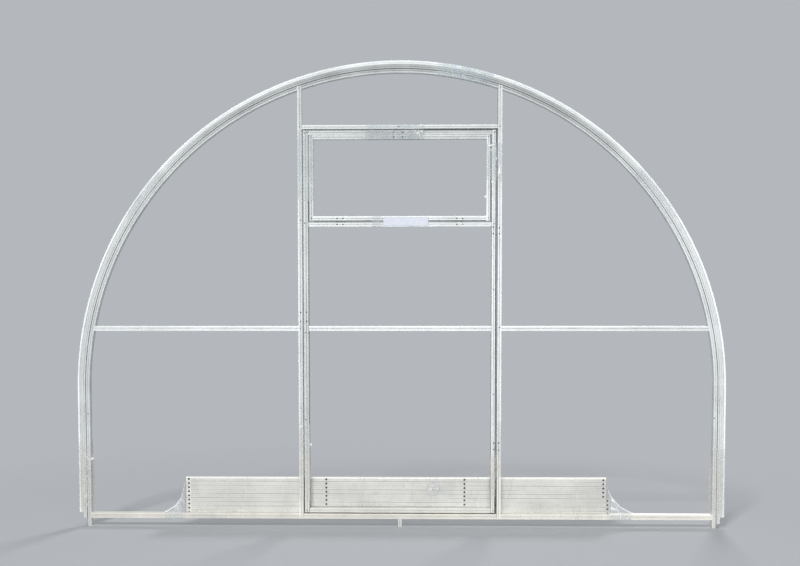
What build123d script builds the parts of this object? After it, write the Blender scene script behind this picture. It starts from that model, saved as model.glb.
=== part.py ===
from build123d import *
import math
import os

# Arched end frame of a polytunnel greenhouse, as delivered: a hollow aluminium hoop on a bottom rail,
# with two posts, a header, side bars, a door with a tilting vent, two spare hoops of the same length
# nested over the frame's own hoop, and a stack of purlins tied behind the posts.
# Millimetres. X runs across the frame, Y runs away from the front face, Z is up, and the origin is
# the middle of the centre foot's sole.

# Extruded wall and the V groove along the middle of its front face
wall = 1.5
groove_width = 3.0
groove_depth = 0.9

# Hoops: outer radius of the outermost one, and the height of the arch's centre above the soles
hoop_radius = 1500.0
arch_centre = 646.0
hoop_face = 18.0
hoop_depth = 37.0
nest_gap = 0.3
# How far each spare hoop has slipped round, its left end up and its right end down
outer_slip = 7.5
middle_slip = 8.5

# Bottom rail and centre foot
foot_height = 37.0
foot_face = 16.0
rail_face = 24.0

# Posts, header and side bars; a post's front and rear walls lap over the rail and the hoop, and the
# crown's height is the clear one between the header and the hoop
post_face = 20.0
post_lap = 16.0
doorway_width = 896.0
header_face = 19.0
crown_height = 236.4
bar_face = 22.0
bar_low = 913.5

# Door leaf and its clearances; the vent's part runs from under the mid rail to the top of the door
stile_face = 22.5
door_rail_face = 20.5
door_depth = 34.0
hinge_gap = 5.0
latch_gap = 6.0
head_gap = 5.0
sill_gap = 6.0
vent_part_height = 438.5

# Tilting vent in the upper part of the door
vent_face = 18.5
vent_sill_face = 22.0
vent_side_gap = 4.0
vent_top_gap = 1.5
vent_sill_gap = 5.0

# Stacked purlins: hollow bars with screw holes in the front wall, at the ends and at the thirds
purlin_count = 9
long_purlins = 4
purlin_face = 19.5
purlin_depth = 20.0
purlin_length = 1967.0
purlin_extra = 20.0
purlin_left = -1006.0
purlins_low = 50.0
hole_radius = 4.0
hole_inset = 13.0

# Door hinges: lift-off, the pin on the frame's half; the leaves lie behind the bars, and an arm of each
# comes forward through the gap to the knuckles, which turn about the line of the front faces
upper_hinge_drop = 18.5
lower_hinge_height = 379.0
hinge_height = 48.0
hinge_plate = 1.2
hinge_leaf = 18.0
barrel_clearance = 0.3
pin_radius = 1.2
pin_clearance = 0.05
knuckle_gap = 0.5

# Vent hinges, vent catch and door latch, all on the rear
vent_hinge_inset = 141.0
vent_hinge_width = 42.0
vent_hinge_leaf = 12.0
vent_barrel_radius = 2.4
catch_x = -7.0
catch_width = 60.0
catch_height = 14.0
catch_plate = 1.5
button_width = 12.0
button_length = 24.0
button_plate = 1.5
latch_height = 978.0
latch_length = 60.0
latch_width = 12.0
latch_depth = 8.0
latch_edge = 2.0
keeper_plate = 1.5
keeper_nose = 6.0

# Places worked out from the sizes above
nest_pitch = hoop_face + nest_gap
frame_nest = 2
frame_hoop_outer = hoop_radius - frame_nest * nest_pitch
frame_hoop_inner = frame_hoop_outer - hoop_face
post_depth = hoop_depth + 2 * wall
post_front = -post_depth / 2
post_rear = post_depth / 2
rail_top = foot_height + rail_face
doorway_edge = doorway_width / 2
post_outer = doorway_edge + post_face
header_low = arch_centre + frame_hoop_inner - crown_height - header_face
bar_middle = bar_low + bar_face / 2
door_left = -doorway_edge + latch_gap
door_right = doorway_edge - hinge_gap
door_low = rail_top + sill_gap
door_top = header_low - head_gap
mid_rail_low = door_top - vent_part_height
door_middle_y = post_front + door_depth / 2
door_rear = post_front + door_depth
door_bay_left = door_left + stile_face
door_bay_right = door_right - stile_face
vent_left = door_bay_left + vent_side_gap
vent_right = door_bay_right - vent_side_gap
vent_low = mid_rail_low + door_rail_face + vent_sill_gap
vent_top = door_top - door_rail_face - vent_top_gap
hinge_x = doorway_edge - hinge_gap / 2
hinge_y = post_front
barrel_radius = hinge_gap / 2 - barrel_clearance
purlin_front = post_rear
hole_pitch = (purlin_length - 2 * hole_inset) / 3

os.makedirs("parts", exist_ok=True)


def save(piece, name):
    piece.part.label = name
    export_step(piece.part, f"parts/{name}.step")


def bar_section(face, depth):
    """Hollow rectangle with a V groove along its front face, drawn in the open sketch."""
    Rectangle(face, depth)
    with Locations((0, -depth / 2)):
        Polygon((-groove_width / 2, 0), (groove_width / 2, 0), (0, groove_depth), mode=Mode.SUBTRACT)
    with Locations((0, groove_depth / 2)):
        Rectangle(face - 2 * wall, depth - 2 * wall - groove_depth, mode=Mode.SUBTRACT)


def upright_plane(x, y, z):
    """Level plane that an upright bar grows from."""
    return Plane((x, y, z))


def level_plane(x, y, z):
    """Plane across a level bar: the bar's face is along Z, its depth along Y, and it grows to +X."""
    return Plane((x, y, z), x_dir=(0, 0, -1), z_dir=(1, 0, 0))


def outside_arch():
    """Everything above the arch's centre and outside the frame hoop's inner face, in an XZ sketch."""
    reach = 2 * hoop_radius
    with Locations((0, arch_centre + reach / 2)):
        Rectangle(2 * reach, reach)
    with Locations((0, arch_centre)):
        Circle(frame_hoop_inner, mode=Mode.SUBTRACT)


def level_bar(name, x_left, x_right, z_middle, face, depth, y=0.0):
    with BuildPart() as bar:
        with BuildSketch(level_plane(x_left, y, z_middle)):
            bar_section(face, depth)
        extrude(amount=x_right - x_left)
    save(bar, name)


def upright_bar(name, x_middle, z_low, z_high, face, depth, y=0.0):
    with BuildPart() as bar:
        with BuildSketch(upright_plane(x_middle, y, z_low)):
            bar_section(face, depth)
        extrude(amount=z_high - z_low)
    save(bar, name)


def hoop_half(name, side, nest, slip):
    """One leg and its share of the arch. All hoops have the same length, so a wider one ends higher."""
    middle = hoop_radius - nest * nest_pitch - hoop_face / 2
    foot = (frame_nest - nest) * nest_pitch * math.pi / 2 - side * slip
    turn = 90 - side * math.degrees(slip / middle)
    with BuildPart() as half:
        with BuildSketch(upright_plane(side * middle, 0, foot)):
            bar_section(hoop_face, hoop_depth)
        extrude(amount=arch_centre - foot)
        with BuildSketch(upright_plane(side * middle, 0, arch_centre)):
            bar_section(hoop_face, hoop_depth)
        revolve(axis=Axis((0, 0, arch_centre), (0, -side, 0)), revolution_arc=turn)
    save(half, name)


sides = {"left": -1, "right": 1}

# Hoops: two spare ones nested over the frame's own, each in two halves that meet at the crown
for side_name, side in sides.items():
    hoop_half(f"outer_hoop_{side_name}", side, 0, outer_slip)
    hoop_half(f"middle_hoop_{side_name}", side, 1, middle_slip)
    hoop_half(f"frame_hoop_{side_name}", side, frame_nest, 0)

# Bottom rail between the hoop's legs, on the centre foot
level_bar("bottom_rail", -frame_hoop_inner, frame_hoop_inner, foot_height + rail_face / 2, rail_face, hoop_depth)
upright_bar("centre_foot", 0, 0, foot_height, foot_face, hoop_depth)

# Posts: their front and rear walls lap over the bottom rail and over the frame's hoop
for side_name, side in sides.items():
    with BuildPart() as post:
        with BuildSketch(upright_plane(side * (doorway_edge + post_face / 2), 0, rail_top - post_lap)):
            bar_section(post_face, post_depth)
        extrude(amount=arch_centre + hoop_radius)
        with BuildSketch(Plane.XZ):
            with Locations((0, arch_centre)):
                Circle(frame_hoop_inner + post_lap)
        extrude(amount=post_depth / 2, both=True, mode=Mode.INTERSECT)
        with BuildSketch(Plane.XZ):
            outside_arch()
        extrude(amount=hoop_depth / 2, both=True, mode=Mode.SUBTRACT)
        with BuildSketch(Plane.XZ):
            with Locations((0, foot_height + rail_face / 2)):
                Rectangle(2 * hoop_radius, rail_face)
        extrude(amount=hoop_depth / 2, both=True, mode=Mode.SUBTRACT)
    save(post, f"post_{side_name}")

level_bar("header", -doorway_edge, doorway_edge, header_low + header_face / 2, header_face, hoop_depth)

# Side bars: from a post to the hoop, with the outer end cut to the hoop's curve
for side_name, side in sides.items():
    with BuildPart() as side_bar:
        with BuildSketch(level_plane(side * post_outer, 0, bar_middle)):
            bar_section(bar_face, hoop_depth)
        extrude(amount=side * (frame_hoop_outer - post_outer))
        with BuildSketch(Plane.XZ):
            outside_arch()
        extrude(amount=hoop_depth, both=True, mode=Mode.SUBTRACT)
    save(side_bar, f"side_bar_{side_name}")

# Purlins: hollow bars stacked behind the posts, the lower ones longer
for row in range(purlin_count):
    length = purlin_length + (purlin_extra if row < long_purlins else 0)
    middle = purlins_low + (row + 0.5) * purlin_face
    holes = [hole_inset, hole_inset + hole_pitch, hole_inset + 2 * hole_pitch, length - hole_inset]
    with BuildPart() as purlin:
        with BuildSketch(level_plane(purlin_left, purlin_front + purlin_depth / 2, middle)):
            Rectangle(purlin_face, purlin_depth)
            Rectangle(purlin_face - 2 * wall, purlin_depth - 2 * wall, mode=Mode.SUBTRACT)
        extrude(amount=length)
        with Locations(*[Plane((purlin_left + x, purlin_front, middle), z_dir=(0, -1, 0)) for x in holes]):
            Hole(hole_radius, depth=wall)
    save(purlin, f"purlin_{row + 1}")

# Door leaf: full-height stiles with the rails between them
upright_bar("door_stile_left", door_left + stile_face / 2, door_low, door_top, stile_face, door_depth, door_middle_y)
upright_bar("door_stile_right", door_right - stile_face / 2, door_low, door_top, stile_face, door_depth, door_middle_y)
door_rails = {
    "door_bottom_rail": (door_low, door_rail_face),
    "door_crossbar": (bar_low, bar_face),
    "door_mid_rail": (mid_rail_low, door_rail_face),
    "door_top_rail": (door_top - door_rail_face, door_rail_face),
}
for rail_name, (low, face) in door_rails.items():
    level_bar(rail_name, door_bay_left, door_bay_right, low + face / 2, face, door_depth, door_middle_y)

# Vent: a small sash of the same make, its sill rail taller
upright_bar("vent_stile_left", vent_left + vent_face / 2, vent_low, vent_top, vent_face, door_depth, door_middle_y)
upright_bar("vent_stile_right", vent_right - vent_face / 2, vent_low, vent_top, vent_face, door_depth, door_middle_y)
vent_rails = {
    "vent_bottom_rail": (vent_low, vent_sill_face),
    "vent_top_rail": (vent_top - vent_face, vent_face),
}
for rail_name, (low, face) in vent_rails.items():
    level_bar(rail_name, vent_left + vent_face, vent_right - vent_face, low + face / 2, face, door_depth,
              door_middle_y)


def hinge_half(name, side, bar_rear, z_middle):
    """Leaf, arm and knuckle of a door hinge: side 1 is the post's half with the pin, -1 the door's with the bore."""
    knuckle = hinge_height / 2 - knuckle_gap
    knuckle_low = z_middle - hinge_height / 2 if side > 0 else z_middle + knuckle_gap
    leaf_x = hinge_x + side * (hinge_gap + hinge_leaf) / 2
    arm_x = side * (hinge_gap - hinge_plate) / 2
    arm_reach = bar_rear + hinge_plate - hinge_y
    with BuildPart() as half:
        with BuildSketch(upright_plane(leaf_x, bar_rear + hinge_plate / 2, z_middle - hinge_height / 2)):
            Rectangle(hinge_leaf, hinge_plate)
        extrude(amount=hinge_height)
        with BuildSketch(upright_plane(hinge_x, hinge_y, knuckle_low)):
            Circle(barrel_radius)
            with Locations((arm_x, arm_reach / 2)):
                Rectangle(hinge_plate, arm_reach)
            if side < 0:
                Circle(pin_radius + pin_clearance, mode=Mode.SUBTRACT)
        extrude(amount=knuckle)
        if side > 0:
            with BuildSketch(upright_plane(hinge_x, hinge_y, z_middle - hinge_height / 2)):
                Circle(pin_radius)
            extrude(amount=hinge_height)
    save(half, name)


hinge_heights = {"upper": mid_rail_low - upper_hinge_drop, "lower": lower_hinge_height}
for hinge_name, z_middle in hinge_heights.items():
    hinge_half(f"{hinge_name}_hinge_frame_half", 1, post_rear, z_middle)
    hinge_half(f"{hinge_name}_hinge_door_half", -1, door_rear, z_middle)

# Vent hinges: a plate on each rail and a barrel along the gap, behind the leaf
vent_pivot = vent_low - vent_sill_gap / 2
vent_sides = {"left": vent_left, "right": vent_right}
for side_name, side in sides.items():
    hinge_left = vent_sides[side_name] - side * vent_hinge_inset - vent_hinge_width / 2
    with BuildPart() as vent_hinge:
        with BuildSketch(level_plane(hinge_left, door_rear, vent_pivot)):
            with Locations((0, hinge_plate / 2)):
                Rectangle(2 * vent_hinge_leaf, hinge_plate)
            with Locations((0, vent_barrel_radius)):
                Circle(vent_barrel_radius)
        extrude(amount=vent_hinge_width)
    save(vent_hinge, f"vent_hinge_{side_name}")

# Vent catch: a plate on the door's top rail, and a button turned down over the vent with a pad under its end
catch_middle = door_top - door_rail_face / 2
with BuildPart() as vent_catch:
    with BuildSketch(Plane.XZ.offset(-door_rear)):
        with Locations((catch_x, catch_middle)):
            Rectangle(catch_width, catch_height)
        with Locations((catch_x, catch_middle - button_length)):
            Rectangle(button_width / 2, button_width / 2)
    extrude(amount=-catch_plate)
    with BuildSketch(Plane.XZ.offset(-door_rear - catch_plate)):
        with Locations((catch_x, catch_middle - button_length / 2)):
            SlotCenterToCenter(button_length, button_width, rotation=90)
    extrude(amount=-button_plate)
save(vent_catch, "vent_catch")

# Door latch: a case on the door's stile and a keeper on the post, side by side on the rear
with BuildPart() as latch_case:
    with BuildSketch(Plane.XZ.offset(-door_rear)):
        with Locations((door_left + stile_face / 2, latch_height)):
            Rectangle(latch_width, latch_length)
    extrude(amount=-latch_depth)
    chamfer(latch_case.faces().sort_by(Axis.Y)[-1].edges(), latch_edge)
save(latch_case, "latch_case")

with BuildPart() as latch_keeper:
    with BuildSketch(Plane.XZ.offset(-post_rear)):
        with Locations((-doorway_edge - post_face / 2, latch_height)):
            Rectangle(latch_width, latch_length)
    extrude(amount=-keeper_plate)
    with BuildSketch(Plane.XZ.offset(-post_rear - keeper_plate)):
        with Locations((-doorway_edge - post_face / 2, latch_height)):
            Rectangle(keeper_nose, 2 * keeper_nose)
    extrude(amount=-keeper_nose)
save(latch_keeper, "latch_keeper")
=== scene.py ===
import math

import bmesh
import bpy
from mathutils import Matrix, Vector, noise


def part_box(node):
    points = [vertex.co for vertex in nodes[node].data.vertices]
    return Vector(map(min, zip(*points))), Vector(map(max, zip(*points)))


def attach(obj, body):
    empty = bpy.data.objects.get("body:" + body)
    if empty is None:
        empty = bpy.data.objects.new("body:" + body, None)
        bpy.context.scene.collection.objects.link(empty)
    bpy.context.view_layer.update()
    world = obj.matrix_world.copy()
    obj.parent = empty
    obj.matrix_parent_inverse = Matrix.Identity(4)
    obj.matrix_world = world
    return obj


# Looks of the arched greenhouse end frame: mill-finish aluminium, zinc-plated fittings, rivets and
# screws, the stretch film that ties the delivery together, the blank label, the studio and the camera.
# Metres, in the frame's own axes.

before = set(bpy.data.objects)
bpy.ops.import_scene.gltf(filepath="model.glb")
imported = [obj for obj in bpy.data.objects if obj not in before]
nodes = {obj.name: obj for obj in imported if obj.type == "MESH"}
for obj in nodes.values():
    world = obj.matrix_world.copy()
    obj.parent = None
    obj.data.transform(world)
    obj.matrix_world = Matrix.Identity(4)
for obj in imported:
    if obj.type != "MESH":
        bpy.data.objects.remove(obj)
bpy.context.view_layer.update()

# Places read from the frame
hoop_radius = -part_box("outer_hoop_left")[0].x
arch_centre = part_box("outer_hoop_left")[1].z - hoop_radius
hoop_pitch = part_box("middle_hoop_left")[0].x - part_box("outer_hoop_left")[0].x
hoop_inner = -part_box("bottom_rail")[0].x
hoop_face = hoop_radius - 2 * hoop_pitch - hoop_inner
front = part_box("post_left")[0].y
hoop_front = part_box("frame_hoop_left")[0].y
rail_front, rail_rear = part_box("bottom_rail")[0].y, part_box("bottom_rail")[1].y
rail_low, rail_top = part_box("bottom_rail")[0].z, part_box("bottom_rail")[1].z
purlin_low, purlin_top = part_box("purlin_1")[0].z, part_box("purlin_9")[1].z
purlin_front, purlin_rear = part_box("purlin_1")[0].y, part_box("purlin_1")[1].y
purlin_left, purlin_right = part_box("purlin_9")[0].x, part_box("purlin_9")[1].x
purlin_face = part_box("purlin_1")[1].z - purlin_low
lower_purlins_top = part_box("purlin_4")[1].z

# The purlins' holes, the last of which follows the purlin's end
hole_inset = 0.013
hole_radius = 0.004
hole_pitch = (purlin_right - purlin_left - 2 * hole_inset) / 3
hole_places = [purlin_left + hole_inset + hole_pitch * k for k in range(3)]


# Shader maths

class Amount:
    """A number or vector that varies over a surface. Arithmetic on it adds Math nodes."""

    def __init__(self, finish, socket):
        self.finish = finish
        self.socket = socket

    def math(self, operation, *operands):
        return self.finish.node("ShaderNodeMath", {"operation": operation}, dict(enumerate(operands)))

    def __add__(self, other):
        return self.math("ADD", self, other)

    def __radd__(self, other):
        return self.math("ADD", other, self)

    def __sub__(self, other):
        return self.math("SUBTRACT", self, other)

    def __rsub__(self, other):
        return self.math("SUBTRACT", other, self)

    def __mul__(self, other):
        return self.math("MULTIPLY", self, other)

    def __rmul__(self, other):
        return self.math("MULTIPLY", other, self)

    def __truediv__(self, other):
        return self.math("DIVIDE", self, other)

    def __pow__(self, other):
        return self.math("POWER", self, other)

    def __abs__(self):
        return self.math("ABSOLUTE", self)

    def least(self, other):
        return self.math("MINIMUM", self, other)

    def most(self, other):
        return self.math("MAXIMUM", self, other)

    def wrapped(self, period):
        return self.math("FLOORED_MODULO", self, period)

    def rising(self, start, end):
        """0 below start and 1 above end, with a smooth step between them."""
        return self.finish.node(
            "ShaderNodeMapRange", {"interpolation_type": "SMOOTHSTEP"},
            {"Value": self, "From Min": start, "From Max": end, "To Min": 0.0, "To Max": 1.0})

    def within(self, start, end, blur):
        """1 between start and end, with a smooth step on both sides."""
        return self.rising(start, start + blur) * (1.0 - self.rising(end, end + blur))


class Finish:
    """A material, or the world's air, made of nodes."""

    def __init__(self, name, kept_in=bpy.data.materials):
        self.material = kept_in.new(name)
        self.material.use_nodes = True
        self.tree = self.material.node_tree
        self.tree.nodes.clear()

    def node(self, kind, settings=None, inputs=None, output=0):
        """Adds a node: its settings first, then the values or links of its sockets."""
        made = self.tree.nodes.new(kind)
        for key, value in (settings or {}).items():
            setattr(made, key, value)
        for key, value in (inputs or {}).items():
            if isinstance(value, Amount):
                self.tree.links.new(value.socket, made.inputs[key])
            else:
                made.inputs[key].default_value = value
        return Amount(self, made.outputs[output] if made.outputs else None)

    def place(self, output="Object"):
        """The surface point in the object's own coordinates, which stay with it as it moves."""
        return self.node("ShaderNodeTexCoord", output=output)

    def split(self, vector):
        """The three numbers of a vector."""
        parts = self.node("ShaderNodeSeparateXYZ", inputs={0: vector}).socket.node.outputs
        return [Amount(self, parts[i]) for i in range(3)]

    def join(self, x, y, z):
        return self.node("ShaderNodeCombineXYZ", inputs={0: x, 1: y, 2: z})

    def noise(self, vector, scale, detail=3.0, roughness=0.5, distortion=0.0):
        inputs = {"Vector": vector, "Scale": scale, "Detail": detail, "Roughness": roughness,
                  "Distortion": distortion}
        return self.node("ShaderNodeTexNoise", None, inputs)

    def mix(self, factor, first, second):
        """Blend of two colours."""
        return self.node("ShaderNodeMix", {"data_type": "RGBA"}, {0: factor, 6: first, 7: second}, output=2)

    def bump(self, height, distance):
        return self.node("ShaderNodeBump", None, {"Height": height, "Distance": distance, "Strength": 1.0})

    def surface(self, **sockets):
        """Closes the material with a Principled shader. An underscore in a socket's name is a space."""
        inputs = {key.replace("_", " "): value for key, value in sockets.items()}
        shader = self.node("ShaderNodeBsdfPrincipled", None, inputs)
        self.node("ShaderNodeOutputMaterial", None, {"Surface": shader})
        return self.material


def tone(red, green, blue):
    """A colour given by its 0 to 255 display values."""
    levels = [level / 255 for level in (red, green, blue)]
    return tuple(x / 12.92 if x <= 0.04045 else ((x + 0.055) / 1.055) ** 2.4 for x in levels) + (1.0,)


# Finishes

def streaks(finish, along, across, deep, length_rate, width_rate, detail, roughness=0.5):
    """Noise drawn out along a bar. The rates are how fast it changes in a metre along the bar and across."""
    drawn = finish.join(along * length_rate, across * width_rate, deep * width_rate)
    return finish.noise(drawn, 1.0, detail, roughness)


def mill_aluminium(finish, along, across, deep, light, dark, warmth):
    """Drawn aluminium: fine lines along the bar, soft stains and handling marks, around a given lightness.
    dark is 1 where shade is painted: on a hollow bar's inner walls, round holes, along gap edges and between
    hoops. warmth is how much sandy dust tints it."""
    place = finish.place()
    lines = streaks(finish, along, across, deep, 4.0, 340.0, 2.0)
    stains = finish.noise(place, 6.0, 3.0, 0.55, 0.4)
    dust = finish.noise(place, 70.0, 4.0, 0.65)
    scuffs = streaks(finish, along, across, deep, 25.0, 160.0, 3.0, 0.6).rising(0.6, 0.72)
    light = light + (lines - 0.5) * 0.3 + (stains - 0.5) * 0.6 + (dust - 0.5) * 0.14 - scuffs * 0.14
    light = light.most(0.0).least(1.0)
    clean = finish.mix(light, tone(154, 157, 157), tone(245, 249, 249))
    dusty = finish.mix(light, tone(150, 148, 140), tone(250, 246, 236))
    # Where dark is 1 the colour goes to near black: painted shade.
    colour = finish.mix(dark, finish.mix(warmth, clean, dusty), tone(30, 30, 31))
    rough = 0.4 + stains * 0.14 + scuffs * 0.12
    height = lines * 0.4 + dust * 0.3 + scuffs * 0.2
    return finish.surface(
        Base_Color=colour, Metallic=0.35, Roughness=rough, Normal=finish.bump(height, 0.0001))


def groove_shade_and_edge_highlights(share, groove, edge):
    """Lightness over a bar's face, with painted shade for a groove along its middle and painted highlights on
    its edges. share runs from 0 on one side of the face to 1 on the other, and groove and edge are how much
    darker and lighter those are."""
    from_middle = abs(share - 0.5)
    return 0.5 + from_middle.rising(0.36, 0.46) * edge - (1.0 - from_middle.rising(0.05, 0.14)) * groove


def gap_shade(place, axis, deep, gaps):
    """Painted shade: 1 along the edges of gaps between bars, where shade falls, and less behind their front
    faces. Each gap has the node below or left of it, the one on its other side, how dark its edges are, and
    how far the shade reaches over each.
    place is the coordinate along the axis, and deep is the one from front to back."""
    blur = 0.001
    darkest = 0.97
    lighter_behind = 0.65
    total = 0.0
    for lower, upper, depth, reach_lower, reach_upper in gaps:
        start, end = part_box(lower)[1][axis] - reach_lower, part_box(upper)[0][axis] + reach_upper
        off = abs(place - (start + end) / 2) - (end - start) / 2
        total = total + (1.0 - off.rising(0.0, blur)) * depth
    return total.least(darkest) * (1.0 - deep.rising(front + 0.002, front + 0.008) * lighter_behind)


def upright_aluminium():
    """Painted shade darkens the edges of the gaps beside the door and the vent, less under the film on the
    left. The left stiles are darker than the rest, and all bars are dusty low down."""
    finish = Finish("upright_bar_aluminium")
    x, y, z = finish.split(finish.place())
    share = finish.split(finish.place("Generated"))[0]
    dark = gap_shade(x, 0, y, [("post_left", "door_stile_left", 0.35, 0.0035, 0.001),
                           ("door_stile_left", "vent_stile_left", 0.75, 0.002, 0.001),
                           ("vent_stile_right", "door_stile_right", 0.85, 0.003, 0.0015),
                           ("door_stile_right", "post_right", 1.0, 0.004, 0.001)])
    right = x.rising(0.0, 0.1)
    filmed = z.within(0.11, 0.47, 0.02) + z.within(1.5, 1.81, 0.02)
    dark = dark * (1.0 - filmed * (1.0 - right) * 0.5)
    dusty = 1.0 - z.rising(0.1, 0.6)
    stile_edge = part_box("door_stile_left")[0].x
    left_stiles = x.rising(stile_edge - 0.005, stile_edge) * (1.0 - right)
    # Each face has painted shade for its groove and painted highlights on its edges, brightest on the left.
    light = groove_shade_and_edge_highlights(share, 0.14, 0.16) - share.rising(0.05, 0.2) * 0.12 + 0.06 + dusty * 0.2
    light = light + right * 0.1 - left_stiles * 0.14
    return mill_aluminium(finish, z, x, y, light, dark, dusty * 0.7)


def level_aluminium():
    """Painted shade darkens the bars' edges along the gap under the vent and the one over the door, there
    less on the left. The door's top rail and the vent's are darker than the rest, a painted shadow of the
    header. The bottom rail is dusty."""
    finish = Finish("level_bar_aluminium")
    x, y, z = finish.split(finish.place())
    share = finish.split(finish.place("Generated"))[2]
    dusty = 1.0 - z.rising(0.06, 0.12)
    worn = x.rising(0.2, 0.8) * 0.2 + 0.06
    # Painted shadow of the header on the door's and the vent's top rails. The share rise on the next line is
    # a painted highlight along each bar's top edge.
    header_shadow = z.rising(1.77, 1.785) * (1.0 - z.rising(1.832, 1.836))
    light = groove_shade_and_edge_highlights(share, 0.12, 0.14) + share.rising(0.76, 0.88) * 0.14 + dusty * worn - header_shadow * 0.14
    dark = gap_shade(z, 2, y, [("door_mid_rail", "vent_bottom_rail", 0.9, 0.0015, 0.0022),
                           ("door_top_rail", "header", 0.9, 0.0025, 0.0015)])
    over_door, left = z.rising(1.6, 1.7), 1.0 - x.rising(0.05, 0.12)
    dark = dark * (1.0 - over_door * left * 0.5)
    return mill_aluminium(finish, x, z, y, light, dark, dusty * 0.9)


def purlin_aluminium():
    """Each purlin's long edges carry painted shade where it lies on the next, some more than others, and so
    do the rims of its holes and its hollow interior. The top one's upper edge is a painted highlight, and the
    left ends are light."""
    finish = Finish("purlin_aluminium")
    x, y, z = finish.split(finish.place())
    share = finish.split(finish.place("Generated"))[2]
    # Painted shade along the long edges where one purlin lies on the next.
    seam = abs(share - 0.5).rising(0.42, 0.5)
    uneven = finish.noise(finish.join(x * 1.2, z * 45.0, 0.0), 1.0, 1.0).rising(0.42, 0.66)
    # Painted highlight along the top purlin's upper edge.
    top = z.rising(purlin_top - 0.008, purlin_top - 0.003)
    end = 1.0 - x.rising(purlin_left + 0.020, purlin_left + 0.024)
    light = groove_shade_and_edge_highlights(share, 0.08, 0.0) + 0.04 - seam * (0.3 + uneven * 1.5) * (1.0 - top)
    light = light + top * 0.6 + end * 0.22
    # Painted shade on the hollow purlins' inner walls, seen through their holes.
    behind_face = y.rising(purlin_front + 0.0003, purlin_front + 0.0012)
    before_back = 1.0 - y.rising(purlin_rear - 0.0012, purlin_rear - 0.0003)
    hollow_shade = behind_face * before_back * (1.0 - abs(share - 0.5).rising(0.44, 0.47))
    lower_ones = 1.0 - z.rising(lower_purlins_top - 0.001, lower_purlins_top)
    last_hole = lower_ones * (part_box("purlin_1")[1].x - purlin_right) + purlin_right - hole_inset
    off = abs(x - last_hole)
    for hole in hole_places:
        off = off.least(abs(x - hole))
    rise = (share - 0.5) * purlin_face
    # Painted shade round the rims of the holes.
    rim = 1.0 - ((off * off + rise * rise) ** 0.5).rising(hole_radius + 0.0004, hole_radius + 0.0014)
    return mill_aluminium(finish, x, z, y, light, hollow_shade.most(rim * (1.0 - behind_face) * 0.9), 0.6)


def hoop_aluminium():
    """The drawn lines follow the leg, then the arch. The outermost hoop's outer band is a painted highlight,
    over more of its face at the crown, where the inner hoops carry painted shade. Painted shade fills the
    seam between the frame's own hoop and the next, and a little the one outside that."""
    finish = Finish("hoop_aluminium")
    x, y, z = finish.split(finish.place())
    over = (z - arch_centre).most(0.0)
    radius = (x * x + over * over) ** 0.5
    turn = over.math("ARCTAN2", over, abs(x))
    along = turn * hoop_radius + (z - arch_centre).least(0.0)
    share = (hoop_radius - radius).wrapped(hoop_pitch) / hoop_face
    inward = hoop_radius - radius
    # Painted highlight on the outer hoop's outer band, wider at the crown, and painted shade on the inner
    # hoops at the crown.
    crown = over.rising(0.85, 1.35)
    outer_highlight = 1.0 - (inward - crown * 0.006).rising(0.005, 0.011)
    inner_hoops = inward.rising(hoop_pitch - 0.003, hoop_pitch + 0.001)
    whole_face = 2 * hoop_pitch + hoop_face
    inner_edge = inward.rising(whole_face - 0.008, whole_face - 0.003)
    # Painted shade in the seams between the hoops.
    seams = (1.0 - abs(inward - 2 * hoop_pitch).rising(0.0010, 0.0026)) * 0.85
    seams = seams + (1.0 - abs(inward - hoop_pitch).rising(0.0005, 0.0014)) * 0.2
    dusty = 1.0 - z.rising(0.1, 0.5)
    light = groove_shade_and_edge_highlights(share, 0.1, 0.06) - 0.1 + outer_highlight * 0.42
    light = light - inner_hoops * crown * (0.26 - inner_edge * 0.2)
    light = light + x.rising(0.6, 1.3) * 0.16 + dusty * 0.06
    return mill_aluminium(finish, along, radius, y, light, seams, dusty * 0.4)


def zinc_steel():
    """Zinc-plated steel with a faint spangle."""
    finish = Finish("zinc_plated_steel")
    place = finish.place()
    spangle = finish.node(
        "ShaderNodeTexVoronoi", {"feature": "F1"}, {"Vector": place, "Scale": 420.0}, "Color")
    patch = finish.split(spangle)[0]
    wear = finish.noise(place, 120.0, 4.0, 0.6)
    colour = finish.mix(patch * 0.5 + wear * 0.5, tone(128, 132, 136), tone(178, 182, 186))
    return finish.surface(
        Base_Color=colour, Metallic=0.9, Roughness=0.3 + wear * 0.2, Normal=finish.bump(wear, 0.0001))


def dark_steel():
    """Rivet and screw heads in dark steel, whose darkness is partly painted shade of the punched middles."""
    finish = Finish("dark_rivet_steel_and_shade")
    place = finish.place()
    wear = finish.noise(place, 600.0, 3.0, 0.6)
    colour = finish.mix(wear, tone(46, 48, 50), tone(88, 90, 92))
    return finish.surface(
        Base_Color=colour, Metallic=0.85, Roughness=0.32 + wear * 0.2, Normal=finish.bump(wear, 0.00005))


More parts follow.
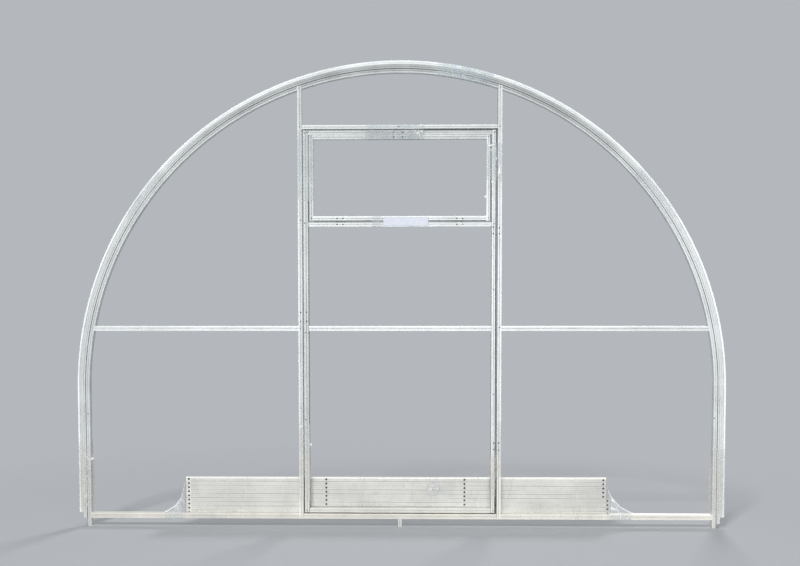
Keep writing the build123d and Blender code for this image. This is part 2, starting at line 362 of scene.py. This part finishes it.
def stretch_film(name, flat, creases, low_tone, high_tone):
    """Clear film, faintly mottled where it lies flat, white along its creases, with painted glints that are
    brightest over the arch. flat and creases are how much each hides of what lies behind. The flat film's
    colour goes from one tone low down to another higher up, with the faint green and violet of strained film,
    most of all over the arch."""
    finish = Finish(name)
    place = finish.place()
    height = finish.split(place)[2]
    overhead = height.rising(1.9, 2.05)
    fold = finish.node("ShaderNodeAttribute", {"attribute_name": "fold"}, output="Fac")
    layers = finish.node("ShaderNodeAttribute", {"attribute_name": "layers"}, output="Fac")
    bunches = finish.noise(place, 18.0, 4.0, 0.6, 0.8)
    mottle = finish.noise(place, 60.0, 3.0, 0.55, 0.6).rising(0.25, 0.75)
    fine = (1.0 - abs(finish.noise(place, 110.0, 4.0, 0.6, 1.2) - 0.5) * 2.0) ** 14.0
    # Painted glints, faint low down and bright over the arch.
    glint = finish.noise(place, 120.0, 3.0, 0.65).rising(0.54, 0.61) * bunches.rising(0.45, 0.6)
    white = fold.most(fine * 0.2).most(glint * (0.06 + overhead * 0.94))
    cover = (0.88 + mottle * 0.2) * (0.78 + bunches.rising(0.35, 0.65) * 0.44) * flat + white * creases
    strain = finish.noise(place, 70.0, 2.0, 0.5, 1.5)
    strained = finish.mix(strain.rising(0.42, 0.58), tone(178, 219, 197), tone(194, 198, 232))
    body = finish.mix(height.rising(0.2, 1.2), low_tone, high_tone)
    body = finish.mix(overhead * 0.65 + 0.06, body, strained)
    colour = finish.mix(white.least(1.0), body, tone(252, 253, 253))
    return finish.surface(
        Base_Color=colour, Roughness=0.2 + bunches * 0.16, Alpha=(cover * layers).most(0.02).least(0.92),
        Normal=finish.bump(white + bunches * 0.5, 0.0008))


def label_paper():
    """Plain white vinyl, a little soiled."""
    finish = Finish("blank_label_vinyl")
    place = finish.place()
    soil = finish.noise(place, 45.0, 5.0, 0.6)
    fine = finish.noise(place, 500.0, 2.0)
    colour = finish.mix(soil, tone(228, 232, 242), tone(208, 213, 224))
    return finish.surface(
        Base_Color=colour, Roughness=0.38 + soil * 0.15, Normal=finish.bump(fine * 0.3 + soil, 0.0002))


upright_finish = upright_aluminium()
level_finish = level_aluminium()
purlin_finish = purlin_aluminium()
hoop_finish = hoop_aluminium()
fitting_finish = zinc_steel()
rivet_finish = dark_steel()
film_finish = stretch_film("stretch_film", 0.3, 0.55, tone(226, 223, 216), tone(214, 221, 221))
# A darker copy of the film, for the winding over the door's top rails: painted shadow of the header.
shaded_film_finish = stretch_film("shaded_stretch_film", 0.66, 0.45, tone(180, 187, 187), tone(180, 187, 187))
thin_film_finish = stretch_film("thin_stretch_film", 0.04, 0.3, tone(200, 204, 204), tone(200, 204, 204))
web_film_finish = stretch_film("hanging_stretch_film", 0.24, 0.85, tone(222, 228, 233), tone(222, 228, 233))
label_finish = label_paper()


def finish_for(name):
    if "purlin" in name:
        return purlin_finish
    if "hoop" in name:
        return hoop_finish
    if "hinge" in name or "latch" in name or "catch" in name:
        return fitting_finish
    if "rail" in name or "bar" in name or name == "header":
        return level_finish
    return upright_finish


for name, node in nodes.items():
    for material_slot in node.material_slots:
        material_slot.material = finish_for(name)


# Pieces made here

def piece(name, mesh_maker, finish, body):
    """A new object from a bmesh, with its finish, on a body of the frame."""
    shape = bmesh.new()
    mesh_maker(shape)
    bmesh.ops.recalc_face_normals(shape, faces=shape.faces)
    mesh = bpy.data.meshes.new(name)
    shape.to_mesh(mesh)
    shape.free()
    for face in mesh.polygons:
        face.use_smooth = True
    for each in finish if isinstance(finish, list) else [finish]:
        mesh.materials.append(each)
    made = bpy.data.objects.new(name, mesh)
    bpy.context.scene.collection.objects.link(made)
    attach(made, body)
    return made


# Rivets and screws: low domes with a punched middle, as radius and height shares of the head
head_profile = [(0.0, 0.35), (0.3, 0.35), (0.4, 0.75), (0.58, 1.0), (0.8, 0.8), (0.94, 0.4), (1.0, 0.0)]
punched_rings = 2
head_sides = 20
rivet_radius = 0.0033
head_height = 0.0015


def add_head(shape, x, y, z):
    """One head on a face that looks forward. Its middle takes the second finish, the dark one, as painted
    shade in the punched hollow.
    """
    rings = []
    for share, height in head_profile:
        level = y - height * head_height
        if share == 0:
            rings.append([shape.verts.new((x, level, z))])
            continue
        reach = rivet_radius * share
        ring = []
        for i in range(head_sides):
            turn = 2 * math.pi * i / head_sides
            ring.append(shape.verts.new((x + reach * math.cos(turn), level, z + reach * math.sin(turn))))
        rings.append(ring)
    for number, (inner, outer) in enumerate(zip(rings, rings[1:])):
        for i in range(head_sides):
            k = (i + 1) % head_sides
            if number == 0:
                corners = (inner[0], outer[i], outer[k])
            else:
                corners = (inner[i], outer[i], outer[k], inner[k])
            shape.faces.new(corners).material_index = 1 if number < punched_rings else 0


def heads(name, body, places, rim=rivet_finish):
    """Heads at (x, z) places on the front faces."""
    def make(shape):
        for x, z in places:
            add_head(shape, x, front, z)
    return piece(name, make, [rim, rivet_finish], body)


def middle(node, axis):
    """The middle of a node's box along an axis."""
    low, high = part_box(node)
    return (low[axis] + high[axis]) / 2


# Two rivets hold each leaf of the door's hinges, which lie behind the bars
heads("frame_hinge_rivets", "frame", [(0.4575, 1.3857), (0.4576, 1.3584), (0.4578, 0.3940), (0.4581, 0.3602)])
heads("door_hinge_rivets", "door", [(0.4286, 1.3894), (0.4287, 1.3598), (0.4334, 0.3941), (0.4335, 0.3639)])

# Two rivets for the latch's case and two for its keeper
latch_z = middle("latch_case", 2)
latch_rivet_rise = 0.0207
for node, body in (("latch_keeper", "frame"), ("latch_case", "door")):
    x = middle(node, 0)
    heads(f"{node}_rivets", body, [(x, latch_z - latch_rivet_rise), (x, latch_z + latch_rivet_rise)])

# Vent hinges: two rivets on the vent's sill rail and two on the door's mid rail, at each hinge
vent_rivet_apart = 0.0272
vent_rivets = []
for node in ("vent_hinge_left", "vent_hinge_right"):
    for rail in ("vent_bottom_rail", "door_mid_rail"):
        for side in (-0.5, 0.5):
            vent_rivets.append((middle(node, 0) + side * vent_rivet_apart, middle(rail, 2)))
heads("vent_hinge_rivets", "door", vent_rivets)

# Vent catch: two rivets on the door's top rail, and two on the vent's for the plate under its button
catch_rivet_apart = 0.042
catch_rivets = [(middle("vent_catch", 0) + side * catch_rivet_apart, middle(rail, 2))
                for rail in ("door_top_rail", "vent_top_rail") for side in (-0.5, 0.5)]
heads("vent_catch_rivets", "door", catch_rivets)

# Single rivets in the posts, the hoop's legs and the header
heads("frame_rivets", "frame", [
    (-0.4583, 1.8469), (0.4583, 1.8469), (-0.4596, 2.0229), (0.4596, 2.0229), (-0.4561, 1.4235),
    (-0.4576, 0.5524), (-0.4585, 0.9250), (0.4594, 0.9294), (-0.0040, 1.8480)], fitting_finish)

# Single rivets at the door's joints and at the vent's corners
heads("door_rivets", "door", [
    (-0.4364, 1.8197), (-0.4254, 1.8223), (0.4345, 1.8210), (-0.4373, 1.4079), (0.4325, 1.4040),
    (-0.4358, 0.9057), (-0.4360, 0.5017), (0.4311, 1.1040), (0.4321, 0.6204), (-0.4325, 0.0775),
    (0.4325, 0.0775), (-0.4060, 1.8001), (0.4060, 1.8001), (-0.4065, 1.4321),
    (0.4065, 1.4328)], fitting_finish)


def leg_rivets(shape):
    """One in each leg of the frame's hoop, whose face lies a little behind the posts'."""
    for x, z in ((-1.4537, 0.5268), (1.4498, 0.5111)):
        add_head(shape, x, hoop_front, z)


piece("leg_rivets", leg_rivets, [fitting_finish, rivet_finish], "frame")


# Blank label across the vent's sill rail and the door's mid rail
gap_middle = (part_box("door_mid_rail")[1].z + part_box("vent_bottom_rail")[0].z) / 2


def label_mesh(shape):
    """It sags a little into the gap between the rails, and its upper right corner curls off them."""
    left, right = -0.0765, 0.1325
    low, high = 1.3960, 1.4352
    lift = 0.0004
    sag, sag_reach = 0.0006, 0.004
    corner_lift, ripple = 0.0012, 0.0003
    columns, rows = 40, 12
    grid = []
    for j in range(rows + 1):
        z = low + (high - low) * j / rows
        row = []
        for i in range(columns + 1):
            x = left + (right - left) * i / columns
            over_gap = math.exp(-((z - gap_middle) / sag_reach) ** 2)
            curl = corner_lift * max(0.0, (i / columns - 0.9) * 10) ** 2 * (j / rows)
            wave = ripple * noise.noise(Vector((x * 60, z * 60, 3.0)))
            row.append(shape.verts.new((x, front - lift + sag * over_gap - curl + wave, z)))
        grid.append(row)
    for j in range(rows):
        for i in range(columns):
            shape.faces.new((grid[j][i], grid[j][i + 1], grid[j + 1][i + 1], grid[j + 1][i]))


label = piece("blank_label", label_mesh, label_finish, "door")
thickness = label.modifiers.new("thickness", "SOLIDIFY")
thickness.thickness = 0.00025


# Stretch film. Each winding is rows of points round the bars that it covers.

film_lift = 0.0005
film_step = 0.0032
film_crease = 0.0011
# How white a winding's rolled edges are, which is also the painted highlight where the film bends over the
# bars' corners
rolled_edge_and_corner_highlight = 0.45

# Rows at a winding's ends that are frayed and thin, and the reach of a lap's white line
frayed_rows = 4
fray_rate = 60
thin_rows = 14
lap_rows = 0.8

# How dense the film is at a winding's ends, where it hangs slack and in a rolled edge
thinnest = 0.4
slack_share = 0.8
ridge_layers = 1.5

# The crumpled spot: how far it reaches, how fast it puckers, how high, and how much denser it is
crumple_reach = 0.034
crumple_rate = 130
crumple_height = 0.003
crumple_layers = 2.4


def side_lengths(corners):
    """The outline's sides, from each corner to the next and back to the first."""
    return [(corners[(i + 1) % len(corners)] - corners[i]).length for i in range(len(corners))]


def spread(corners, counts):
    """Points along an outline, counts of them on its sides, evenly spaced between its corners."""
    points = []
    for i, count in enumerate(counts):
        start, end = corners[i], corners[(i + 1) % len(corners)]
        points += [start + (end - start) * (k / count) for k in range(count)]
    return points


def creased(point, grain, seed):
    """0 to 1, high along thin ridges. grain is how fast the pattern changes along each axis."""
    place = Vector((point.x * grain[0], point.y * grain[1], point.z * grain[2] + seed * 7.3))
    wide = max(0.0, 1 - abs(noise.noise(place)) * 10)
    fine = max(0.0, 1 - abs(noise.noise(place * 2.3 + Vector((5.0, 1.0, 2.0)))) * 6)
    bunched = 0.5 + noise.noise(place * 0.25)
    return min(1.0, max(0.0, wide * 0.6 + fine * 0.4) * max(0.0, bunched) * 1.6)


def lap_line(laps, along, across, last):
    """How white the wound film's edges are at a point. along and across run from 0 to 1, and last is the
    number of the winding's last row."""
    white = 0.0
    for at, slope, whiteness in laps:
        off = (along - at - slope * (across - 0.5)) * last
        white = max(white, whiteness * math.exp(-(off / lap_rows) ** 2))
    return white


def winding_grid(shape, rows, middles, ragged, seed):
    """The winding's faces between its rows, of which the first and last few are frayed."""
    last = len(rows) - 1
    grid = []
    for j, row in enumerate(rows):
        along = (middles[min(last, j + 1)] - middles[max(0, j - 1)]).normalized()
        fray = ragged * max(0.0, 1 - min(j, last - j) / frayed_rows)
        verts = []
        for point in row:
            place = Vector((point.x * fray_rate, point.y * fray_rate, point.z * fray_rate + seed))
            verts.append(shape.verts.new(point + along * fray * noise.noise(place)))
        grid.append(verts)
    count = len(rows[0])
    for first, second in zip(grid, grid[1:]):
        for i in range(count):
            n = (i + 1) % count
            shape.faces.new((first[i], first[n], second[n], second[i]))
    shape.normal_update()
    return grid


def film(name, body, outlines, seed, grain=(60, 60, 60), laps=(), ragged=0.006, rolled=True,
         slot="bar_aluminium", finish=film_finish, ridge=None, slack_side=None, crease=film_crease,
         weight=1.0, crumple=None):
    """Film through outlines of corners, which all have the same number. laps are edges of the wound film:
    each is how far along it lies, from 0 to 1, how far it slopes across the film, and how white it is. ridge
    is the first and last corner of a rolled edge. From the corner slack_side on, the film hangs free and is
    clearer. crease is how far the creases stand out, and weight how dense the film is. crumple is the middle
    of a crumpled spot."""
    longest = [max(lengths) for lengths in zip(*(side_lengths(outline) for outline in outlines))]
    counts = [max(1, round(side / film_step)) for side in longest]
    rows = [spread(outline, counts) for outline in outlines]
    corner_places = [sum(counts[:k]) for k in range(len(counts) + 1)]
    middles = [sum(row, Vector()) / len(row) for row in rows]
    count = len(rows[0])
    last = len(rows) - 1

    def make(shape):
        fold = shape.verts.layers.float.new("fold")
        layers = shape.verts.layers.float.new("layers")
        grid = winding_grid(shape, rows, middles, ragged, seed)
        outward = sum((v.co - middles[j]).dot(v.normal) for j, row in enumerate(grid) for v in row)
        sign = 1 if outward > 0 else -1
        moved = []
        for j, row in enumerate(grid):
            from_end = min(j, last - j)
            for i, v in enumerate(row):
                across = abs(2 * i / count - 1)
                height = max(creased(v.co, grain, seed), lap_line(laps, j / last, across, last))
                if rolled and from_end == 0:
                    height = max(height, rolled_edge_and_corner_highlight)
                lift = film_lift + crease * height
                # Over the bars' corners the film is whitened: painted highlight.
                if i in corner_places:
                    height = max(height, rolled_edge_and_corner_highlight)
                wound = weight * (0.85 + 0.4 * noise.noise(Vector((seed * 3.1, i / 40, j / 9))))
                if crumple:
                    near = math.exp(-((v.co - crumple).length / crumple_reach) ** 4)
                    puckered = near * min(1.0, max(0.0, noise.noise(v.co * crumple_rate) * 5))
                    height = max(height, puckered)
                    lift += crumple_height * puckered
                    wound *= 1 + crumple_layers * near
                wound *= min(1.0, thinnest + from_end / thin_rows)
                if slack_side and i > corner_places[slack_side]:
                    wound *= slack_share
                if ridge and corner_places[ridge[0]] <= i <= corner_places[ridge[1]]:
                    height, lift, wound = 1.0, 0.0, ridge_layers
                v[fold] = height
                v[layers] = wound
                moved.append((v, v.normal * sign * lift))
        for v, shift in moved:
            v.co += shift
    made = piece(name, make, finish, body)
    length = sum((second[0] - first[0]).length for first, second in zip(rows, rows[1:]))
    girth = max(sum(side_lengths(outline)) for outline in outlines)
    min(film_area(rows, True), girth * length)


def film_area(rows, closed):
    """The film's area before its creases are put in. closed is for rows that go all round."""
    total = 0.0
    count = len(rows[0])
    for first, second in zip(rows, rows[1:]):
        for i in range(count if closed else count - 1):
            n = (i + 1) % count
            total += (first[n] - first[i]).cross(second[i] - first[i]).length
    return total


def box_outline(low, high, axis, value):
    """Corners of a box's outline across an axis."""
    u, v = [i for i in range(3) if i != axis]
    corners = []
    for a, b in ((low[u], low[v]), (high[u], low[v]), (high[u], high[v]), (low[u], high[v])):
        corner = Vector((0, 0, 0))
        corner[u], corner[v], corner[axis] = a, b, value
        corners.append(corner)
    return corners


def steps(start, end, step=film_step):
    """Evenly spaced places from start to end, about a step apart."""
    count = max(4, round(abs(end - start) / step))
    return [start + (end - start) * j / count for j in range(count + 1)]


def film_round(name, covered, body, axis, start, end, seed, **more):
    """Film wound round bars that lie along an axis, from start to end."""
    boxes = [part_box(node) for node in covered]
    low = Vector([min(box[0][i] for box in boxes) for i in range(3)])
    high = Vector([max(box[1][i] for box in boxes) for i in range(3)])
    outlines = [box_outline(low, high, axis, value) for value in steps(start, end)]
    film(name, body, outlines, seed, **more)


# Round the three hoops, right of the crown and half way down on both sides
def arch_film(name, start, end, seed, laps, weight=1.0):
    """start and end are in degrees from the crown, and are less than 0 on the left."""
    centre = Vector((0, 0, arch_centre))
    section = ((hoop_inner, hoop_front), (hoop_radius, hoop_front), (hoop_radius, -hoop_front),
               (hoop_inner, -hoop_front))
    outlines = []
    for turn in steps(math.radians(start), math.radians(end), film_step / hoop_radius):
        outward = Vector((math.sin(turn), 0, math.cos(turn)))
        outlines.append([centre + outward * radius + Vector((0, y, 0)) for radius, y in section])
    film(name, "frame", outlines, seed, laps=laps, weight=weight, slot="hoop_aluminium")


arch_film("arch_film", 6.7, 16.82, 1, [(0.25, 0.1, 0.5), (0.62, -0.12, 0.6)])
arch_film("left_arch_film", -58.2, -47.2, 20, [(0.3, 0.06, 0.3)], 0.5)
arch_film("right_arch_film", 47.0, 58.4, 21, [(0.08, 0.05, 0.5), (0.36, 0.12, 0.9), (0.46, -0.1, 0.5)], 0.6)

# Round the hoops' legs, slack on their inner side
leg_slack = 0.011
leg_slack_ripple = 0.0025
leg_film_rear = 0.026


def leg_film(name, side, low_z, high_z, laps, seed):
    """side is -1 for the left leg and 1 for the right."""
    outlines = []
    for z in steps(low_z, high_z):
        slack = leg_slack * min(1.0, (high_z - z) / 0.05, (z - low_z) / 0.03 + 0.5)
        slack += leg_slack_ripple * noise.noise(Vector((seed, 0.5, z * 22)))
        inner, outer = side * hoop_inner, side * hoop_radius
        back = -hoop_front + (leg_film_rear + hoop_front) * slack / leg_slack
        outlines.append([Vector((inner, hoop_front, z)), Vector((outer, hoop_front, z)),
                         Vector((outer, -hoop_front, z)), Vector((inner, max(-hoop_front, back), z)),
                         Vector((inner - side * slack, -hoop_front * 0.7, z))])
    film(name, "frame", outlines, seed, grain=(70, 70, 26), laps=laps, slot="hoop_aluminium", ridge=(4, 4),
         slack_side=3)


leg_film("left_leg_film", -1, 0.083, 0.395, [(0.88, -0.32, 1.0), (0.97, -0.04, 0.4)], 2)
leg_film("right_leg_film", 1, 0.066, 0.370, [(0.6, 0.2, 0.5), (0.97, 0.03, 0.4)], 3)

# Round the bars beside the door's gaps. One winding is cut at the gap, so that the door can open. Beside the
# hinges its creases are low, so that they clear each other when the door is wide open.
upright_grain = (75, 60, 34)
level_grain = (34, 60, 75)
hinge_crease = 0.0003
lower_laps = [(0.69, 0.01, 0.6), (0.75, 0.02, 0.4)]
film_round("header_film", ["header"], "frame", 0, -0.158, 0.116, 4, grain=level_grain)
film_round("door_top_film", ["door_top_rail", "vent_top_rail"], "door", 0, -0.160, 0.116, 5,
           grain=level_grain, laps=[(0.9, 0.05, 0.8)], finish=shaded_film_finish)
film_round("left_post_film_upper", ["post_left"], "frame", 2, 1.514, 1.833, 6, grain=upright_grain)
film_round("left_stile_film_upper", ["door_stile_left", "vent_stile_left"], "door", 2, 1.510, 1.806, 7,
           grain=upright_grain, laps=[(0.3, 0.03, 0.55), (0.36, -0.02, 0.4), (0.7, 0.04, 0.5)])
film_round("left_post_film_lower", ["post_left"], "frame", 2, 0.120, 0.471, 8, grain=upright_grain,
           laps=lower_laps)
film_round("left_stile_film_lower", ["door_stile_left"], "door", 2, 0.116, 0.476, 9, grain=upright_grain,
           laps=lower_laps)
film_round("right_post_film_upper", ["post_right"], "frame", 2, 1.594, 1.772, 10, grain=upright_grain,
           laps=[(0.12, 0.1, 0.9), (0.3, 0.08, 0.8), (0.42, 0.06, 0.7), (0.72, -0.1, 0.8)],
           crease=hinge_crease)
film_round("right_stile_film_upper", ["door_stile_right", "vent_stile_right"], "door", 2, 1.598, 1.772, 11,
           grain=upright_grain, laps=[(0.15, 0.08, 0.5), (0.85, -0.12, 0.9)], crease=hinge_crease)
film_round("right_post_film_lower", ["post_right"], "frame", 2, 0.230, 0.496, 12, grain=upright_grain)
film_round("right_stile_film_lower", ["door_stile_right"], "door", 2, 0.124, 0.342, 13, grain=upright_grain)

# Round the vent's sill rail and the door's mid rail, left of the label
film_round("sill_film", ["vent_bottom_rail", "door_mid_rail"], "door", 0, -0.128, -0.079, 14,
           grain=level_grain)

# Round the bottom rail and the stacked purlins on each side of the doorway. Past the purlins' ends the film
# hangs free and necks down on to the rail, its upper edge rolled. The necks are (x, height) points.
left_neck = [(-1.0995, 0.0640), (-1.0792, 0.0764), (-1.0520, 0.0945), (-1.0304, 0.1231),
             (-1.0215, 0.1582), (-1.0085, 0.2028), (-1.0068, 0.2255)]
right_neck = [(1.0799, 0.0640), (1.0560, 0.0775), (1.0260, 0.0925), (1.0040, 0.1150), (0.9840, 0.1400),
              (0.9700, 0.1700), (0.9640, 0.1930), (0.9620, 0.2255)]
edge_roll = 0.0038
roll_turns = (3.9, 2.4, 0.75, -0.75)
neck_grain = (26, 45, 70)
stack_grain = (130, 45, 6)


def neck_height(neck, x):
    """The height of a neck's upper edge at x."""
    points = sorted(neck)
    for (x0, z0), (x1, z1) in zip(points, points[1:]):
        if x0 <= x <= x1:
            return z0 + (z1 - z0) * (x - x0) / (x1 - x0)
    return points[0][1]


def stack_outline(x, height):
    """The film's outline at x, with its upper edge at a height, from round the rail alone to round all."""
    share = (height - rail_top) / (purlin_top - rail_top)
    widened = min(1.0, share * 1.6)
    top_front = rail_front + (purlin_front - rail_front) * widened
    back = rail_rear + (purlin_rear - rail_rear) * widened
    corners = ((rail_front, rail_low), (rail_front, rail_top), (top_front, height), (back, height),
               (back, purlin_low), (rail_rear, rail_low))
    return [Vector((x, y, z)) for y, z in corners]


def neck_outline(x, height):
    """As the stack's, but drawn together at the top, where the film's edge is rolled."""
    corners = stack_outline(x, height)
    top = (corners[2] + corners[3]) / 2
    top.y = corners[2].y + 0.5 * edge_roll
    roll = [Vector((0, math.cos(turn), math.sin(turn))) * edge_roll for turn in roll_turns]
    return corners[:2] + [top + reach for reach in roll] + corners[4:]


def neck_film(name, neck, shoulder_shift, seed, laps):
    """The free part, from the neck's foot to just over the purlins' ends."""
    foot, shoulder = neck[0][0], neck[-1][0]
    outlines = [neck_outline(x, max(rail_top + 2 * edge_roll, neck_height(neck, x)))
                for x in steps(foot, shoulder + shoulder_shift, 0.0022)]
    film(name, "frame", outlines, seed, grain=neck_grain, laps=laps, ragged=0.002,
         slot="purlin_aluminium", finish=web_film_finish, ridge=(2, 5))


def stack_film(name, start, end, seed):
    """Round the rail and all the purlins, just clear of the top one."""
    outlines = [stack_outline(x, purlin_top + 0.0004) for x in steps(start, end, 0.0034)]
    film(name, "frame", outlines, seed, grain=stack_grain, ragged=0.003, rolled=False,
         slot="purlin_aluminium", finish=thin_film_finish)


neck_film("left_neck_film", left_neck, 0.001, 15, [(0.5, -0.25, 0.9), (0.62, 0.12, 0.6), (0.88, 0.25, 0.5)])
neck_film("right_neck_film", right_neck, -0.001, 16, [(0.35, 0.3, 0.7), (0.6, -0.3, 0.8), (0.8, 0.1, 0.5)])
stack_film("left_stack_film", left_neck[-1][0] + 0.001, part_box("post_left")[0].x, 17)
stack_film("right_stack_film", right_neck[-1][0] - 0.001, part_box("post_right")[1].x, 18)

# Across the doorway the film lies on the purlins alone
doorway_low = Vector((0, purlin_front, purlin_low))
doorway_high = Vector((0, purlin_rear, purlin_top))
doorway_places = steps(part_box("post_left")[1].x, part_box("post_right")[0].x, 0.0036)
film("doorway_stack_film", "frame", [box_outline(doorway_low, doorway_high, 0, x) for x in doorway_places],
     19, grain=stack_grain, ragged=0.0, rolled=False, slot="purlin_aluminium", finish=thin_film_finish,
     crumple=Vector((0.1542, purlin_front, 0.1717)))


# Loose ends of the film: small twisted tongues
tongue_layers = 1.6


def tongue(name, body, x, y, z, length, turn, width=0.0065):
    """A pointed scrap that stands off the bars, turned in their plane. width is half of its widest part."""
    tongue_rows = 8
    lean, twist = 0.12, 0.5
    pleat = Vector((0, -0.0008, 0))
    rows = []
    for j in range(tongue_rows + 1):
        t = j / tongue_rows
        half = width * (1 - t) ** 0.8 + 0.0004
        along = Vector((math.cos(turn), -lean * t, math.sin(turn))) * length * t
        side = Vector((-math.sin(turn), -twist * t, math.cos(turn))) * half
        centre = Vector((x, y, z)) + along
        rows.append([centre - side, centre - side * 0.3 + pleat, centre + side * 0.4, centre + side])

    def make(shape):
        fold = shape.verts.layers.float.new("fold")
        layers = shape.verts.layers.float.new("layers")
        grid = [[shape.verts.new(point) for point in row] for row in rows]
        for first, second in zip(grid, grid[1:]):
            for i in range(len(first) - 1):
                shape.faces.new((first[i], first[i + 1], second[i + 1], second[i]))
        for v in shape.verts:
            v[fold] = 1.0
            v[layers] = tongue_layers
    made = piece(name, make, film_finish, body)
    cut = max(0.01, 2 * width + 0.001)
    max(0.3 * cut * length, film_area(rows, False))


tongue("left_post_tongue", "frame", -0.4560, front - 0.001, 0.4690, 0.0105, 2.9, 0.004)
tongue("left_stile_tongue", "door", -0.4190, front + 0.010, 0.3800, 0.014, 0.9)
tongue("right_stile_tongue", "door", 0.4425, front - 0.001, 1.7060, 0.0125, -1.7, 0.0022)
tongue("right_post_scrap", "frame", 0.4550, front - 0.001, 1.6300, 0.050, 1.5, 0.005)
tongue("right_stile_scrap", "door", 0.4060, front - 0.001, 1.7580, 0.034, 0.24, 0.003)
tongue("right_stile_knot", "door", 0.4220, front - 0.001, 1.5980, 0.012, -1.2, 0.004)
tongue("vent_stile_tongue", "door", 0.3960, front + 0.006, 1.5270, 0.0105, 2.8, 0.005)
tongue("left_leg_tongue", "frame", -1.4440, hoop_front + 0.006, 0.3140, 0.018, 0.3)
tongue("header_tongue", "frame", 0.0960, front - 0.001, 1.8480, 0.0105, 1.1, 0.004)
tongue("top_rail_tongue_left", "door", 0.0790, front - 0.001, 1.8160, 0.0105, 0.5, 0.004)
tongue("top_rail_tongue_right", "door", 0.1010, front - 0.001, 1.8210, 0.0105, 1.3, 0.004)
tongue("right_neck_tongue", "frame", 0.9780, front + 0.008, 0.0910, 0.040, -0.3)
tongue("right_neck_knot", "frame", 0.9850, front + 0.020, 0.1300, 0.018, -0.9)


# Studio: a pale floor that fades into plain air of the same colour, so the object shows from all sides

paper = tone(180, 184, 189)
floor_colour = tone(202, 205, 209)
floor_radius = 60.0
fade_start, fade_end = 1.9, 3.4


def studio():
    shape = bmesh.new()
    bmesh.ops.create_circle(shape, cap_ends=True, segments=64, radius=floor_radius)
    mesh = bpy.data.meshes.new("studio_floor")
    shape.to_mesh(mesh)
    shape.free()
    finish = Finish("studio_paper")
    x, y = finish.split(finish.place())[:2]
    far = ((x * x + y * y) ** 0.5).rising(fade_start, fade_end)
    seen = finish.node("ShaderNodeLightPath", output="Is Camera Ray")
    near = finish.node("ShaderNodeBsdfPrincipled", None, {"Base Color": floor_colour, "Roughness": 0.9})
    air = finish.node("ShaderNodeEmission", None, {"Color": paper, "Strength": 1.0})
    blend = finish.node("ShaderNodeMixShader", None, {0: far * seen, 1: near, 2: air})
    finish.node("ShaderNodeOutputMaterial", None, {"Surface": blend})
    mesh.materials.append(finish.material)
    floor = bpy.data.objects.new("studio_floor", mesh)
    bpy.context.scene.collection.objects.link(floor)


def studio_air():
    """Soft light all round. Glossy rays see it brighter, and the camera sees the paper's colour."""
    sky = (0.96, 0.98, 1.0, 1.0)
    air = Finish("studio_air", bpy.data.worlds)
    glossy = air.node("ShaderNodeLightPath", output="Is Glossy Ray")
    seen = air.node("ShaderNodeLightPath", output="Is Camera Ray")
    soft = air.node("ShaderNodeBackground", None, {"Color": sky, "Strength": 0.3})
    bright = air.node("ShaderNodeBackground", None, {"Color": sky, "Strength": 0.7})
    plain = air.node("ShaderNodeBackground", None, {"Color": paper, "Strength": 1.0})
    lit = air.node("ShaderNodeMixShader", None, {0: glossy, 1: soft, 2: bright})
    blend = air.node("ShaderNodeMixShader", None, {0: seen, 1: lit, 2: plain})
    air.node("ShaderNodeOutputWorld", None, {"Surface": blend})
    bpy.context.scene.world = air.material


def lamp(name, place, aim, wide, tall, power):
    light = bpy.data.lights.new(name, "AREA")
    light.shape = "RECTANGLE"
    light.size = wide
    light.size_y = tall
    light.energy = power
    made = bpy.data.objects.new(name, light)
    made.location = place
    made.rotation_euler = (Vector(aim) - Vector(place)).to_track_quat("-Z", "Y").to_euler()
    made.visible_camera = False
    bpy.context.scene.collection.objects.link(made)


studio()
studio_air()
lamp("key", (-6.4, -19.0, 23.0), (0, 0, 1.0), 5.2, 5.2, 2700)
lamp("front", (-0.16, -6.4, 0.95), (0, 0, 0.8), 6.6, 1.8, 200)
lamp("back", (4.0, 13.0, 10.0), (0, 0, 1.0), 4.0, 4.0, 700)

# Camera: right of the frame's middle, at half its height, turned a little left and down
camera_data = bpy.data.cameras.new("camera")
camera_data.lens = 52.708
camera_data.sensor_width = 36.0
camera_data.shift_x = -0.0036
camera_data.shift_y = 0.0948
camera = bpy.data.objects.new("camera", camera_data)
camera.location = (0.14, -5.42, 1.093)
camera.rotation_euler = [math.radians(a) for a in (86.728, 0.029, 1.331)]
bpy.context.scene.collection.objects.link(camera)
bpy.context.scene.camera = camera

bpy.context.scene.view_settings.view_transform = "Standard"
